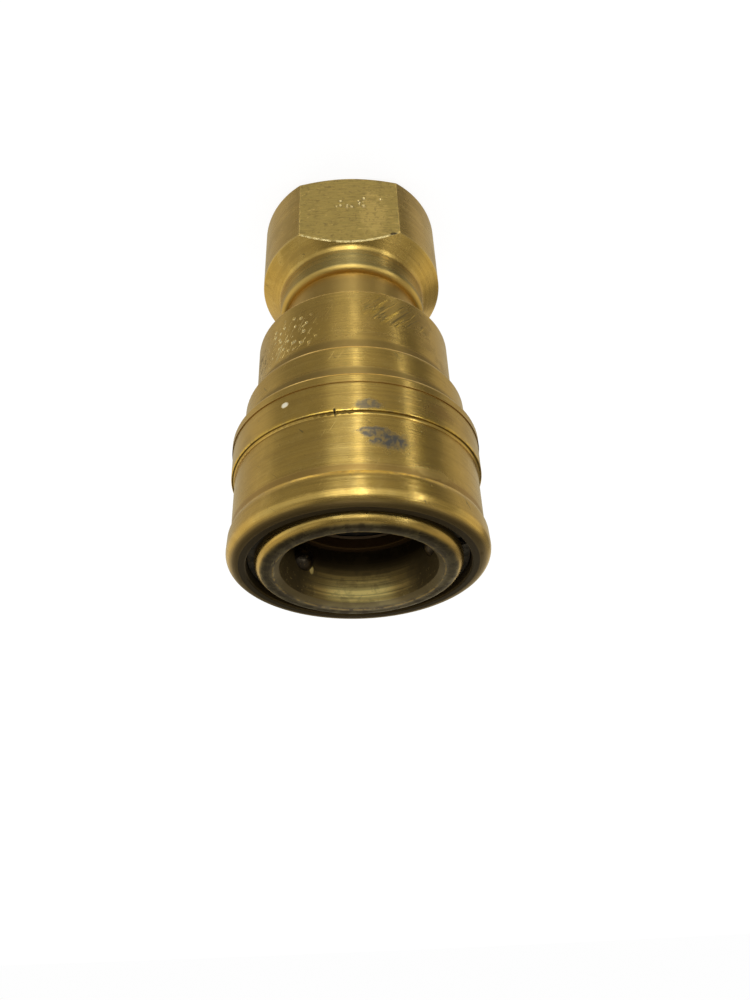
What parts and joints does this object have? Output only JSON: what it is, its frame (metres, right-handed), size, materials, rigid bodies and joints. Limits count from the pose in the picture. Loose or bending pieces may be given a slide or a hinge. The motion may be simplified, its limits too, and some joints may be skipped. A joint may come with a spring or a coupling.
{
  "type": "quick disconnect coupler",
  "caption": "Brass socket half of a quick disconnect coupler: ball-locking mouth with a spring-loaded sleeve, a poppet valve inside and a female pipe port behind two wrench flats.",
  "frame": {"origin": "centre of the pipe port's mouth, on the rear face that the coupler stands on", "axes": "+Z along the coupler's axis and out of the socket's mouth; the two wrench flats face +Y and -Y"},
  "size_m": [0.0382, 0.0382, 0.072],
  "materials": {
    "brass_body": "turned brass, dulled and scratched by use",
    "brass_adapter": "turned brass, dulled, with tool marks",
    "brass_sleeve": "turned and polished brass, worn and stained",
    "brass_valve": "clean turned brass",
    "ring_steel": "dull spring steel",
    "spring_steel": "drawn spring wire",
    "ball_steel": "ground bearing steel",
    "rubber": "black nitrile rubber",
    "backup_plastic": "white PTFE"
  },
  "bodies": {
    "socket_body": {"front_body": "brass_body", "rear_adapter": "brass_adapter", "adapter_o_ring": "rubber", "socket_o_ring": "rubber", "backup_ring": "backup_plastic", "retaining_ring": "ring_steel", "valve_guide": "brass_valve", "valve_spring": "spring_steel", "adapter_backup_ring": "backup_plastic", "sleeve_spring_seat": "ring_steel"},
    "spring_carrier": {"sleeve_spring": "spring_steel"},
    "locking_sleeve": {"sleeve": "brass_sleeve"},
    "valve_poppet": {"poppet_stem": "brass_valve", "poppet_disc": "brass_valve", "poppet_cap": "brass_valve", "poppet_seal": "rubber", "stem_clip": "ring_steel"},
    "ball_1": {"locking_ball_1": "ball_steel"},
    "ball_2": {"locking_ball_2": "ball_steel"},
    "ball_3": {"locking_ball_3": "ball_steel"}
  },
  "joints": [
    {"name": "sleeve_spin", "type": "hinge", "parent": "socket_body", "child": "spring_carrier", "pos_m": [0, 0, 0.0575], "axis": [0, 0, 1], "continuous": true},
    {"name": "sleeve_slide", "type": "slide", "parent": "spring_carrier", "child": "locking_sleeve", "axis": [0, 0, -1], "range_m": [0, 0.0055], "stiffness_N_per_m": 540, "springref_m": -0.012, "deforming": ["sleeve_spring"]},
    {"name": "poppet_slide", "type": "slide", "parent": "socket_body", "child": "valve_poppet", "axis": [0, 0, -1], "range_m": [0, 0.006], "stiffness_N_per_m": 1600, "springref_m": -0.004, "deforming": ["valve_spring"]},
    {"name": "ball_1_slide", "type": "slide", "parent": "socket_body", "child": "ball_1", "axis": [0.7547, 0.6561, 0], "range_m": [0, 0.0012]},
    {"name": "ball_2_slide", "type": "slide", "parent": "socket_body", "child": "ball_2", "axis": [-0.9455, 0.3256, 0], "range_m": [0, 0.0012]},
    {"name": "ball_3_slide", "type": "slide", "parent": "socket_body", "child": "ball_3", "axis": [0.1908, -0.9816, 0], "range_m": [0, 0.0012]}
  ],
  "couplings": [
    {"joint": "ball_1_slide", "follows": "sleeve_slide", "ratio": 0.218},
    {"joint": "ball_2_slide", "follows": "sleeve_slide", "ratio": 0.218},
    {"joint": "ball_3_slide", "follows": "sleeve_slide", "ratio": 0.218}
  ]
}
